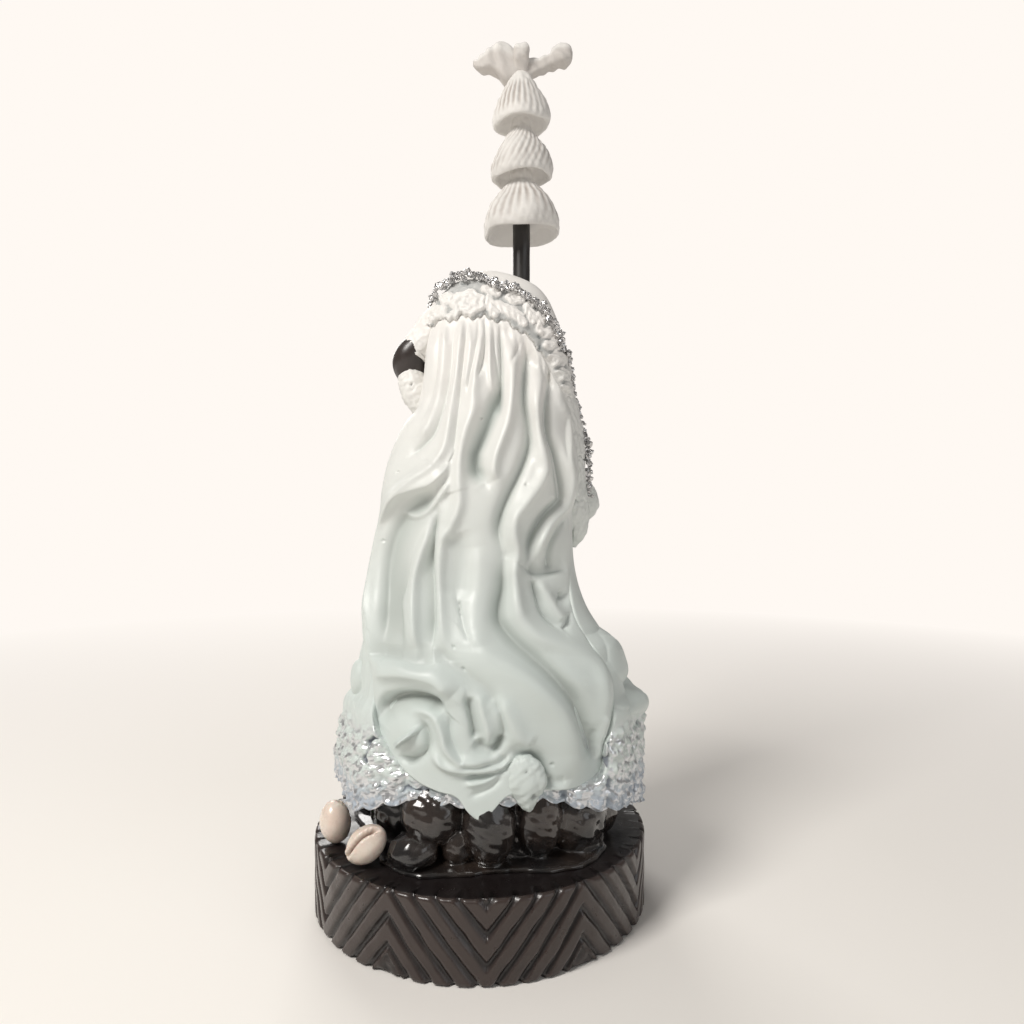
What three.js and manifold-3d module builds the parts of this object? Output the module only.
// A stooped elder in a white robe and cape, who leans on a tall staff with three bells.
// The figure is cast and painted, and stands with two cowrie shells on a round carved base.
// Millimetres, +Z up. The base stands on z = 0, the elder faces -Y, and +X is on his left.
import * as THREE from 'three';
import { mergeVertices } from 'three/addons/utils/BufferGeometryUtils.js';
import Module from 'manifold-3d';

// Base: a low drum with a zigzag of grooves round its side.
const baseRadius = 55;
const baseHeight = 23.5;
const baseRimBevel = 0.8;
const baseFootChamfer = 0.6;
const zigzagCount = 6;
const zigzagStart = 26;
const zigzagSlope = 1.25;
const grooveSpacing = 8.2;
const grooveFirst = 8.5;
const grooveWidth = 1.8;
const grooveDepth = 1;

// Figure: heights of the hem, the cape and the crown of the shoulders.
const glueGap = 0.3;
const hemWaves = 8;
const hemWaveDepth = 1.3;
const pleatCount = 8;
const pleatDepth = 1.2;
const capeTop = 195;
const capeMiddleThickness = 5;
const capeEdgeThickness = 2;
const yokeRaise = 1.1;

// Boulders under the hem.
const moundCentre = [-2, 0];
const moundTop = 47;
const lipRadius = 43.5;
const lipWave = 3.5;
const lipHeight = 1.6;
const moundRadius = 35.5;

// Staff: a rod in both hands and a cast head on its upper end.
const staffX = -14.3;
const staffY = -38;
const rodRadius = 3.4;
const rodTop = 241;
const fluteCount = 10;
const fluteDepth = 0.45;

// Head and hands.
const headPlace = [2, -33, 190];
const headHalfWidth = 10;
const headHalfDepth = 11.8;
const headHalfHeight = 14;
const headNod = 24;
const upperFistHeight = 171;
const lowerFistHeight = 156;

// Silver trim and cowrie shells.
const beadRadius = 1.35;
const beadSpacing = 3.2;
const trimStandoff = 0.5;
const cowrieLength = 14.6;
const cowrieWidth = 10.4;
const cowrieHeight = 9;
const slitWidth = 1;

const wasm = await Module();
wasm.setup();

const radians = THREE.MathUtils.degToRad;
const clamp = THREE.MathUtils.clamp;
const smoothstep = THREE.MathUtils.smoothstep;

// A smooth value through rows [station, value, value ...], for each value at a station between them.
function through(rows, at) {
  const last = rows.length - 1;
  const t = clamp(at, rows[0][0], rows[last][0]);
  let i = 0;
  while (i < last - 1 && t > rows[i + 1][0]) i += 1;
  const slope = (k, column) => {
    const before = rows[Math.max(k - 1, 0)];
    const after = rows[Math.min(k + 1, last)];
    return (after[column] - before[column]) / (after[0] - before[0]);
  };
  const span = rows[i + 1][0] - rows[i][0];
  const s = (t - rows[i][0]) / span;
  return rows[0].slice(1).map((_, n) => {
    const column = n + 1;
    const rise = rows[i + 1][column] - rows[i][column];
    const start = slope(i, column) * span;
    const end = slope(i + 1, column) * span;
    return rows[i][column] + start * s + (3 * rise - 2 * start - end) * s * s + (start + end - 2 * rise) * s ** 3;
  });
}

// A closed solid from a geometry, turned the right way out.
function solidOf(geometry) {
  const bare = geometry.clone();
  bare.deleteAttribute('normal');
  bare.deleteAttribute('uv');
  const merged = mergeVertices(bare, 1e-4);
  const triVerts = new Uint32Array(merged.index.array);
  const build = () => new wasm.Manifold(
    new wasm.Mesh({ numProp: 3, vertProperties: merged.attributes.position.array, triVerts }),
  );
  const solid = build();
  if (solid.volume() > 0) return solid;
  for (let i = 0; i < triVerts.length; i += 3) {
    [triVerts[i + 1], triVerts[i + 2]] = [triVerts[i + 2], triVerts[i + 1]];
  }
  return build();
}

// The geometry of a solid, with flat faces.
function geometryOf(solid) {
  const mesh = solid.getMesh();
  const corners = new Float32Array(mesh.triVerts.length * 3);
  mesh.triVerts.forEach((vertex, corner) => {
    for (let axis = 0; axis < 3; axis += 1) {
      corners[corner * 3 + axis] = mesh.vertProperties[vertex * mesh.numProp + axis];
    }
  });
  const geometry = new THREE.BufferGeometry();
  geometry.setAttribute('position', new THREE.BufferAttribute(corners, 3));
  geometry.computeVertexNormals();
  return geometry;
}

// A closed solid from rings of points, place(i, j) being point j of ring i. Each end ring is closed by
// a fan to its middle, or, where the ring is a thin band, by a strip between its two sides.
function ringSolid(rings, points, place, thinBand = false) {
  const positions = [];
  const index = [];
  for (let i = 0; i < rings; i += 1) {
    for (let j = 0; j < points; j += 1) positions.push(...place(i, j));
  }
  for (let i = 0; i < rings - 1; i += 1) {
    for (let j = 0; j < points; j += 1) {
      const a = i * points + j;
      const b = i * points + (j + 1) % points;
      index.push(a, b, b + points, a, b + points, a + points);
    }
  }
  for (const ring of [0, rings - 1]) {
    const first = ring * points;
    const face = (a, b, c) => (ring === 0 ? index.push(a, c, b) : index.push(a, b, c));
    if (thinBand) {
      for (let j = 0; j < points / 2 - 1; j += 1) {
        const opposite = points - 1 - j;
        face(first + j, first + j + 1, first + opposite - 1);
        face(first + j, first + opposite - 1, first + opposite);
      }
    } else {
      const middle = [0, 1, 2].map((axis) => {
        let sum = 0;
        for (let j = 0; j < points; j += 1) sum += positions[(first + j) * 3 + axis];
        return sum / points;
      });
      positions.push(...middle);
      const centre = positions.length / 3 - 1;
      for (let j = 0; j < points; j += 1) face(first + j, first + (j + 1) % points, centre);
    }
  }
  const geometry = new THREE.BufferGeometry();
  geometry.setAttribute('position', new THREE.BufferAttribute(new Float32Array(positions), 3));
  geometry.setIndex(index);
  return solidOf(geometry);
}

// An egg of three half sizes, turned by three angles in degrees and then placed.
function egg(centre, halfSizes, turn = [0, 0, 0], sides = 10, rows = 6, shape = () => 1) {
  const frame = new THREE.Matrix4().makeRotationFromEuler(new THREE.Euler(...turn.map(radians), 'ZYX'));
  frame.setPosition(...centre);
  return ringSolid(rows, sides, (i, j) => {
    const height = -Math.cos(Math.PI * (i + 0.5) / rows);
    const around = 2 * Math.PI * j / sides;
    const wide = Math.sqrt(1 - height * height);
    const direction = new THREE.Vector3(wide * Math.cos(around), wide * Math.sin(around), height);
    const swell = shape(direction);
    direction.multiply(new THREE.Vector3(...halfSizes)).multiplyScalar(swell);
    return direction.applyMatrix4(frame).toArray();
  });
}

// A tapered limb through stations [x, y, z, radius], round in section.
function limb(stations, sides = 8, steps = 2) {
  const curve = new THREE.CatmullRomCurve3(stations.map((s) => new THREE.Vector3(s[0], s[1], s[2])));
  const rings = (stations.length - 1) * steps + 1;
  const frames = curve.computeFrenetFrames(rings - 1, false);
  return ringSolid(rings, sides, (i, j) => {
    const t = i / (rings - 1);
    const station = t * (stations.length - 1);
    const k = Math.min(Math.floor(station), stations.length - 2);
    const radius = THREE.MathUtils.lerp(stations[k][3], stations[k + 1][3], station - k);
    const around = 2 * Math.PI * j / sides;
    return curve.getPoint(t)
      .addScaledVector(frames.normals[i], radius * Math.cos(around))
      .addScaledVector(frames.binormals[i], radius * Math.sin(around))
      .toArray();
  });
}

// An upright cylinder between two heights.
function post(x, y, radius, low, high, sides = 16) {
  const geometry = new THREE.CylinderGeometry(radius, radius, high - low, sides);
  geometry.rotateX(Math.PI / 2);
  geometry.translate(x, y, (low + high) / 2);
  return solidOf(geometry);
}

// The base is a turned drum, cut by grooves that climb and fall round its side.
function makeBase() {
  const profile = [
    [0, 0],
    [baseRadius - baseFootChamfer, 0],
    [baseRadius, baseFootChamfer],
    [baseRadius, baseHeight - baseRimBevel],
    [baseRadius - baseRimBevel, baseHeight],
    [0, baseHeight],
  ].map(([r, z]) => new THREE.Vector2(r, z));
  const drumGeometry = new THREE.LatheGeometry(profile, 24);
  drumGeometry.rotateX(Math.PI / 2);
  drumGeometry.rotateZ(radians(-zigzagStart));
  const drum = solidOf(drumGeometry);
  const halfTurn = Math.PI / zigzagCount;
  const halfArc = halfTurn * baseRadius;
  const steps = 2;
  const grooves = [];
  for (let peak = 0; peak < zigzagCount; peak += 1) {
    for (const side of [-1, 1]) {
      for (let line = 0; line < 6; line += 1) {
        const peakHeight = grooveFirst + line * grooveSpacing;
        grooves.push(ringSolid(steps + 1, 3, (i, j) => {
          const arc = halfArc * i / steps;
          const angle = radians(90 - zigzagStart - peak * 360 / zigzagCount) + side * arc / baseRadius;
          const radius = baseRadius + (j === 0 ? -grooveDepth : 0.6);
          const spread = [0, -1, 1][j] * grooveWidth * 0.8;
          const z = peakHeight - zigzagSlope * arc + spread;
          return [radius * Math.cos(angle), radius * Math.sin(angle), z];
        }));
      }
    }
  }
  return drum.subtract(wasm.Manifold.union(grooves));
}

// Robe sections by height: centre x and y, half width, and depth to the front and to the back.
const robeSections = [
  [30, -3, 4, 49.5, 36, 35],
  [46, -3, 4, 49.7, 36.5, 34],
  [60, -4, 4, 49, 36, 31.5],
  [66, -4.5, 4, 48.6, 35, 30.5],
  [70, -4, 4, 45.2, 33.5, 29],
  [78, -3.5, 4, 43.6, 33, 28],
  [85, -3, 4, 41.8, 31.5, 26.5],
  [89, -1.2, 3, 39, 30, 25],
  [98, -0.2, 2, 34.7, 28.5, 23],
  [110, 0.2, 0, 32, 26.5, 21],
  [126, 0.4, -2, 31.8, 24.5, 19],
  [145, -2, -5, 30.5, 21.5, 18],
  [165, -4, -8, 26.5, 18.5, 17],
  [180, -4.5, -11, 24.6, 16, 16],
  [192, -4.6, -13, 23.6, 15.5, 14.5],
  [200, -4.4, -14, 21.2, 14.5, 12.2],
  [205, -4.4, -14, 18.6, 13, 10.5],
  [209, -3.4, -14, 15.8, 11, 8.3],
  [212, -2.6, -14, 10.6, 8, 5.8],
  [214, -2.4, -14, 4, 3, 3],
];

// How far the lace yoke stands out: between the cape's upper edge and the trim, all round the shoulders.
function yokeHeight(x, z) {
  const lowerEdge = through([[-40, 160], [-31, 166], [-22, 180], [-12, 190], [0, 194], [20, 193]], x)[0];
  return yokeRaise * smoothstep(z, lowerEdge - 1, lowerEdge + 1);
}

// A point of the robe at an angle from +X and a height. Pleats run down its front, and its hem waves.
function robePoint(angle, z) {
  const [x, y, wide, front, back] = through(robeSections, z);
  const c = Math.cos(angle);
  const s = Math.sin(angle);
  const square = 2.35;
  const round = (Math.abs(c) ** square + Math.abs(s) ** square) ** (-1 / square);
  const pleat = pleatDepth * Math.cos(pleatCount * angle) * smoothstep(-s, 0.2, 0.8) * smoothstep(-z, -172, -150);
  const wave = hemWaveDepth * Math.cos(hemWaves * angle) * smoothstep(-z, -88, -60);
  const out = pleat + wave + yokeHeight(x + wide * c, z);
  return [x + (wide + out) * c * round, y + ((s > 0 ? back : front) + out) * s * round, z];
}

// Height of the hem by direction in degrees from +X.
const hemHeights = [
  [0, 39], [30, 40.5], [60, 39.5], [90, 43], [120, 41], [150, 36], [180, 31], [270, 31], [330, 35], [360, 39],
];
const hemReach = 28;

function makeRobe() {
  const sides = 28;
  return ringSolid(robeSections.length, sides, (i, j) => {
    const angle = 2 * Math.PI * j / sides;
    const station = robeSections[i][0];
    const rise = through(hemHeights, 360 * j / sides)[0] - robeSections[0][0];
    const point = robePoint(angle, station);
    point[2] += rise * Math.max(0, 1 - (station - robeSections[0][0]) / hemReach);
    return point;
  });
}

// Cape outline by height: its left and right edge, as x, and how deep it hangs behind, as y.
const capeOutline = [
  [38, 31, -41, 43.5],
  [50, 31, -41, 40],
  [66, 31, -41.5, 37],
  [75, 33.5, -41.5, 35],
  [86, 37.5, -36.5, 32],
  [98, 38.3, -30.5, 29],
  [113, 36.3, -30, 26],
  [126, 33.8, -30.5, 23],
  [135, 33.5, -33, 21],
  [146, 31.5, -33.5, 18.5],
  [157, 27, -31.5, 16],
  [165, 21.5, -31, 13.5],
  [174, 20.5, -25, 10.5],
  [186, 19.5, -18, 6],
  [195, 18, -6, 1.5],
];

// Lower edge of the cape, as height against the share of the way from its left edge to its right.
const capeHem = [
  [0, 69], [0.04, 61], [0.1, 55], [0.21, 49], [0.36, 45], [0.44, 40], [0.5, 41], [0.57, 46.5],
  [0.72, 48], [0.9, 51], [0.96, 57], [1, 66],
];

// Folds of the cape: height out of the surface (a valley is negative), half width, and the points that
// the fold runs through, as x and z.
const capeFolds = [
  { height: -1.6, width: 2.6, line: [[9, 192], [10, 173], [14, 155], [22, 146]] },
  { height: 1.3, width: 2.8, line: [[12, 190], [14, 168], [20, 151]] },
  { height: -2.4, width: 3, line: [[-6, 186], [-7, 168], [-4, 155], [-1, 140]] },
  { height: 1.6, width: 2.6, line: [[-11, 188], [-9, 163], [-6, 143], [-4, 130]] },
  { height: -2, width: 2.4, line: [[-16, 182], [-14, 156], [-15, 145], [-10, 131]] },
  { height: 1.8, width: 3, line: [[-19, 180], [-17, 158], [-19, 144], [-12, 128], [-12, 113]] },
  { height: -2.2, width: 2.4, line: [[-23, 172], [-24, 156], [-25, 139]] },
  { height: 1.8, width: 3, line: [[-28, 164], [-28, 140], [-22, 125], [-19, 115]] },
  { height: 1.8, width: 3, line: [[9, 146], [15, 137], [26, 129], [31, 120], [34, 104]] },
  { height: -1.8, width: 5, line: [[26, 122], [27, 106], [25, 90]] },
  { height: 1.6, width: 3, line: [[14, 126], [20, 106], [22, 88]] },
  { height: -2, width: 2.6, line: [[14, 119], [13, 101], [15, 85]] },
  { height: 1.6, width: 3.4, line: [[9, 143], [9, 119], [10, 95]] },
  { height: -3, width: 3, line: [[-6, 126], [-8, 106], [-6, 94], [-19, 82], [-30, 66], [-34, 55]] },
  { height: -2.6, width: 3, line: [[-24, 130], [-17, 118], [-16, 109]] },
  { height: -2, width: 2.6, line: [[29, 66], [26, 74], [14, 74], [8, 70]] },
  { height: 2, width: 3.4, line: [[22, 62], [21, 61]] },
  { height: -1.6, width: 2.4, line: [[14, 62], [18, 56], [7, 53], [-9, 54]] },
  { height: 2, width: 4, line: [[-14, 76], [-24, 62], [-27, 52]] },
];

// Height of all folds at a place of the cape: each adds a rounded ridge that fades out at its two ends.
const foldLines = capeFolds.map(({ height, width, line }) => ({
  height,
  width,
  points: new THREE.SplineCurve(line.map(([x, z]) => new THREE.Vector2(x, z))).getPoints(4 * line.length),
}));

function foldHeight(x, z) {
  const here = new THREE.Vector2(x, z);
  const near = new THREE.Vector3();
  let total = 0;
  for (const { height, width, points } of foldLines) {
    let nearest = Infinity;
    let share = 0;
    for (let k = 0; k < points.length - 1; k += 1) {
      const segment = new THREE.Line3(
        new THREE.Vector3(points[k].x, points[k].y, 0),
        new THREE.Vector3(points[k + 1].x, points[k + 1].y, 0),
      );
      const t = segment.closestPointToPointParameter(new THREE.Vector3(here.x, here.y, 0), true);
      segment.at(t, near);
      const distance = Math.hypot(near.x - x, near.y - z);
      if (distance < nearest) {
        nearest = distance;
        share = (k + t) / (points.length - 1);
      }
    }
    const fade = smoothstep(share, -0.1, 0.2) * smoothstep(1 - share, -0.1, 0.2);
    total += height * fade * Math.exp(-((nearest / width) ** 2));
  }
  return total;
}

// The cape is a closed band: its outer side from left to right, and its inner side back again.
function makeCape() {
  const columns = 20;
  const rows = 24;
  return ringSolid(rows, 2 * columns, (i, j) => {
    const outer = j < columns;
    const share = (outer ? j : 2 * columns - 1 - j) / (columns - 1);
    const z = THREE.MathUtils.lerp(capeTop, through(capeHem, share)[0], i / (rows - 1));
    const [left, right, back] = through(capeOutline, z);
    const x = THREE.MathUtils.lerp(left, right, share);
    const across = 1 - 2 * share;
    const wrap = through([[40, 15], [110, 15], [165, 15], [195, 9]], z)[0];
    const y = back - wrap * Math.abs(across) ** 2.4;
    const lean = across * Math.abs(across) * 0.7;
    const calm = 1 - Math.abs(across) ** 8;
    const middle = Math.sqrt(1 - across * across);
    const depth = outer
      ? foldHeight(x, z) * calm
      : -THREE.MathUtils.lerp(capeEdgeThickness, capeMiddleThickness, middle);
    return [x + depth * Math.sin(lean), y + depth * Math.cos(lean), z];
  }, true);
}

// Boulders by direction in degrees from +X: height of the middle, half sizes and how far each stands out.
const boulders = [
  { at: 62, height: 37, wide: 15, tall: 8, out: 6.5 },
  { at: 60, height: 28.5, wide: 9, tall: 5, out: 8 },
  { at: 94, height: 36, wide: 14, tall: 10, out: 5.5 },
  { at: 131, height: 33, wide: 19, tall: 10, out: 7 },
  { at: 165, height: 31, wide: 14, tall: 8, out: 6 },
  { at: 12, height: 37, wide: 13, tall: 6, out: 6 },
  { at: 35, height: 31, wide: 12, tall: 6, out: 3 },
  { at: 200, height: 30, wide: 17, tall: 7, out: 6 },
  { at: 235, height: 29, wide: 16, tall: 6, out: 1 },
  { at: 290, height: 29, wide: 20, tall: 6, out: 2 },
  { at: 335, height: 30, wide: 18, tall: 7, out: 5 },
];

function moundRadiusAt(angle, z) {
  const lip = lipRadius + lipWave * Math.cos(5 * (angle - radians(60)));
  const aboveLip = z - (baseHeight + glueGap);
  if (aboveLip <= lipHeight) return lip;
  let radius = moundRadius;
  for (const { at, height, wide, tall, out } of boulders) {
    const turn = Math.atan2(Math.sin(angle - radians(at)), Math.cos(angle - radians(at))) / radians(wide);
    const lift = (z - height) / tall;
    radius = Math.max(radius, moundRadius + out * Math.sqrt(Math.max(0, 1 - turn * turn - lift * lift)));
  }
  return radius;
}

function makeMound() {
  const bottom = baseHeight + glueGap;
  const heights = [bottom, bottom + lipHeight, bottom + lipHeight + 0.8, 29, 33, 37, 42, moundTop];
  const sides = 32;
  return ringSolid(heights.length, sides, (i, j) => {
    const angle = 2 * Math.PI * j / sides;
    const radius = moundRadiusAt(angle, heights[i]);
    return [moundCentre[0] + radius * Math.cos(angle), moundCentre[1] + radius * Math.sin(angle), heights[i]];
  });
}

// Right sleeve by height: centre x and y, half width and half depth. It hangs from the forearm.
const rightSleeve = [
  [115.5, -31, -13, 2, 6],
  [120, -31.5, -13, 5, 10],
  [128, -31.3, -13, 6.4, 12.5],
  [138, -30, -12.5, 6.3, 13],
  [150, -29.4, -12.5, 6.6, 12.5],
  [164, -27, -13, 7, 11],
  [180, -22.5, -14, 6.5, 9.5],
  [194, -17, -15, 6, 8],
];

function makeRightSleeve() {
  const sides = 12;
  return ringSolid(rightSleeve.length, sides, (i, j) => {
    const [z, x, y, wide, deep] = rightSleeve[i];
    const angle = 2 * Math.PI * j / sides;
    return [x + wide * Math.cos(angle), y + deep * Math.sin(angle), z];
  });
}

// A closed hand round the rod, with four finger ridges.
function fist(height, turn) {
  const ridges = (direction) => 1 + 0.06 * Math.cos(direction.z * 4 * Math.PI) * Math.abs(direction.y);
  return egg([staffX + 0.8, staffY + 0.6, height], [6, 6.2, 5.4], [0, 0, turn], 10, 8, ridges);
}

// The head looks down and ahead. Brow, eye hollows, nose, lips and cheeks stand out of an egg.
function makeHead() {
  const bump = (direction, side, up, width, tall) => {
    const across = Math.atan2(direction.x, -direction.y);
    const above = Math.asin(clamp(direction.z, -1, 1));
    return Math.exp(-(((across - side) / width) ** 2) - ((above - up) / tall) ** 2);
  };
  const face = (d) => 1
    + 0.13 * bump(d, 0, -0.12, 0.16, 0.24)
    - 0.07 * (bump(d, 0.38, 0.06, 0.24, 0.16) + bump(d, -0.38, 0.06, 0.24, 0.16))
    + 0.04 * bump(d, 0, 0.34, 0.6, 0.14)
    + 0.045 * bump(d, 0, -0.52, 0.3, 0.12)
    + 0.07 * bump(d, 0, -0.95, 0.5, 0.25);
  const skull = egg(headPlace, [headHalfWidth, headHalfDepth, headHalfHeight], [headNod, 0, 0], 16, 11, face);
  const capSize = [headHalfWidth + 1.4, headHalfDepth + 1.2, headHalfHeight * 0.62];
  const cap = egg([headPlace[0], headPlace[1] + 3.4, headPlace[2] + 5.8], capSize, [headNod, 0, 0], 14, 7);
  const beard = egg([headPlace[0], headPlace[1] - 5, headPlace[2] - 16], [5.6, 4.2, 11], [headNod - 16, 0, 0], 8, 6);
  const neck = limb([[0, -18, 196, 9], [1, -26, 192, 8.5], [2, -32, 188, 7]], 8, 1);
  return [skull, cap, beard, neck];
}

function makeFigure() {
  const leftArm = [
    limb([[6, -16, 199, 9], [14.5, -15, 194, 8], [21.5, -14, 186.5, 6.6]], 10, 2),
    limb([[20, -13.5, 188, 5], [26.5, -14.5, 182, 5.6], [22, -20, 178, 5.2], [6, -31, 174, 4], [-9, -37, 171, 3.4]]),
    limb([[26, -13, 179, 4.5], [24.5, -12.5, 173, 5], [20, -11, 165, 5]]),
  ];
  const rightArm = [
    makeRightSleeve(),
    limb([[-30, -18, 158, 5.5], [-27, -28, 157, 4.6], [-18, -37, 156, 3.6]]),
    egg([-38, -22, 132], [4.4, 4.6, 7.6], [0, 12, 0], 8, 5),
  ];
  const parts = [
    makeRobe(),
    makeCape(),
    makeMound(),
    ...leftArm,
    ...rightArm,
    ...makeHead(),
    fist(upperFistHeight, 20),
    fist(lowerFistHeight, -25),
  ];
  const rodHole = post(staffX, staffY, rodRadius + glueGap, baseHeight - 1, rodTop);
  return wasm.Manifold.union(parts).subtract(rodHole);
}

// Line of the silver trim: over the left shoulder, across the back and down the right sleeve. Across
// the back it is given as an angle in degrees and a height on the robe, and lies just off its surface.
const trimStart = [[12, -33, 201], [16.8, -25.5, 202.5], [18, -17, 206]];
const trimOverBack = [
  [17, 209], [47, 211], [78, 211], [101, 208.2], [116, 205.4], [132, 201.6], [148, 195.8], [160, 188.5],
];
const trimDownSleeve = [
  [-33, -15, 180], [-33.6, -21.5, 172], [-35.6, -22, 163], [-37.4, -17.5, 156],
  [-38, -12, 150], [-38, -9.5, 144], [-38, -8.5, 138], [-38.6, -8.5, 133],
];

function makeTrimCurve() {
  const overBack = trimOverBack.map(([degrees, z]) => {
    const at = (angle, height) => new THREE.Vector3(...robePoint(angle, height));
    const here = at(radians(degrees), z);
    const along = at(radians(degrees) + 0.05, z).sub(here);
    const up = at(radians(degrees), z + 0.4).sub(here);
    const away = along.cross(up).normalize();
    return here.addScaledVector(away, beadRadius + trimStandoff);
  });
  const start = trimStart.map((place) => new THREE.Vector3(...place));
  const down = trimDownSleeve.map((place) => new THREE.Vector3(...place));
  return new THREE.CatmullRomCurve3([...start, ...overBack, ...down]);
}

// The trim is a string of faceted beads that touch.
function makeTrim() {
  const curve = makeTrimCurve();
  const beads = Math.round(curve.getLength() / beadSpacing);
  const rings = 2 * beads + 1;
  const frames = curve.computeFrenetFrames(rings - 1, false);
  const sides = 4;
  return ringSolid(rings, sides, (i, j) => {
    const radius = i % 2 === 0 ? 0.4 * beadRadius : beadRadius;
    const around = 2 * Math.PI * j / sides;
    return curve.getPointAt(i / (rings - 1))
      .addScaledVector(frames.normals[i], radius * Math.cos(around))
      .addScaledVector(frames.binormals[i], radius * Math.sin(around))
      .toArray();
  });
}

// A cowrie shell, cut flat where it is glued down, with its long slit across one side.
function makeCowrie(centre, turn, slitTurn) {
  const shell = egg(centre, [cowrieLength / 2, cowrieWidth / 2, cowrieHeight / 2], turn, 10, 6);
  const frame = new THREE.Matrix4().makeRotationFromEuler(new THREE.Euler(...turn.map(radians), 'ZYX'));
  frame.setPosition(...centre);
  const slitGeometry = new THREE.BoxGeometry(cowrieLength * 0.8, slitWidth, 2.4);
  slitGeometry.translate(0, 0, cowrieHeight / 2);
  slitGeometry.rotateX(radians(slitTurn));
  slitGeometry.applyMatrix4(frame);
  const foot = post(centre[0], centre[1], cowrieLength, 0, baseHeight + glueGap);
  return shell.subtract(foot).subtract(solidOf(slitGeometry));
}

// Staff head from its lower rim up: height, radius and how much of the fluting shows.
const bellRings = [
  [240.5, 5, 0], [236.3, 12.6, 0], [236.8, 14.3, 0.3], [243.5, 15, 1], [249, 12, 1], [253.6, 8.4, 0.8], [257.2, 4.6, 0],
  [261.5, 4.3, 0], [258.6, 10.2, 0], [259.3, 11.6, 0.4], [266.5, 11.8, 1], [272.3, 8.3, 1], [276.5, 5, 0.4], [279, 4, 0],
  [282, 4, 0], [278.9, 9.6, 0], [279.9, 11.5, 0.5], [286.5, 10.2, 1], [291.2, 7.3, 1], [295.5, 4.5, 0.3], [298, 3.8, 0],
];

function makeStaffHead() {
  const bells = ringSolid(bellRings.length, 2 * fluteCount, (i, j) => {
    const [z, radius, fluting] = bellRings[i];
    const angle = Math.PI * j / fluteCount;
    const r = radius - fluteDepth * fluting * (1 - Math.cos(fluteCount * angle));
    return [staffX + r * Math.cos(angle), staffY + r * Math.sin(angle), z];
  });
  // A wing or the tail: rings from the core outwards, each [reach out, height, half width, half thickness].
  const petal = (direction, rings) => {
    const out = new THREE.Vector3(Math.cos(radians(direction)), Math.sin(radians(direction)), 0);
    const side = new THREE.Vector3(-out.y, out.x, 0);
    const sides = 6;
    return ringSolid(rings.length, sides, (i, j) => {
      const [reach, z, wide, thick] = rings[i];
      const angle = 2 * Math.PI * j / sides;
      const point = new THREE.Vector3(staffX, staffY, z + thick * Math.sin(angle));
      return point.addScaledVector(out, reach).addScaledVector(side, wide * Math.cos(angle)).toArray();
    });
  };
  const leftWing = petal(0, [[-1, 299, 3, 4.5], [5, 304.5, 4, 5.5], [11, 305, 4.2, 5.8], [16, 303.6, 3.6, 4], [19, 303.4, 2, 1.4]]);
  const rightWing = petal(180, [[-1, 299, 3, 4.2], [6, 303, 3.4, 3], [12, 305.5, 3.6, 3.2], [17, 307.6, 3.6, 3.4], [19.6, 308, 2, 2]]);
  const tail = petal(90, [[-2, 300, 2.6, 5], [2, 305, 2.9, 5.2], [5, 308, 3, 4], [6.8, 309.5, 2, 2.4]]);
  const neckAndBeak = petal(270, [[-2, 300, 2.6, 5], [3, 304, 2.6, 4.4], [7, 308, 2.6, 3], [10.5, 308.6, 1.6, 1.6], [13, 307, 0.5, 0.5]]);
  const post1 = post(staffX, staffY, 3, 294, 310, 8);
  const socket = post(staffX, staffY, rodRadius + glueGap, 230, rodTop + glueGap);
  return wasm.Manifold.union([bells, leftWing, rightWing, tail, neckAndBeak, post1]).subtract(socket);
}

const group = new THREE.Group();

// One named mesh for each cast or glued piece.
function addPiece(name, solid, color, roughness, metalness) {
  const mesh = new THREE.Mesh(
    geometryOf(solid),
    new THREE.MeshStandardMaterial({ color, roughness, metalness, flatShading: true }),
  );
  mesh.name = name;
  group.add(mesh);
}

addPiece('base', makeBase(), 0x2b211f, 0.35, 0);
addPiece('figure', makeFigure(), 0xdcdedb, 0.55, 0);
addPiece('staff_rod', post(staffX, staffY, rodRadius, baseHeight + glueGap, rodTop), 0x1f1c1b, 0.4, 0);
addPiece('staff_head', makeStaffHead(), 0xe8e6e2, 0.7, 0);
addPiece('silver_trim', makeTrim(), 0xc8c8c6, 0.2, 1);
addPiece('cowrie_left', makeCowrie([45.3, 20, 31.3], [0, 84, 20], 0), 0xe9ddd0, 0.35, 0);
addPiece('cowrie_right', makeCowrie([33, 34.5, 27.4], [0, 8, -22], 0), 0xe5cdc0, 0.35, 0);

export default group;
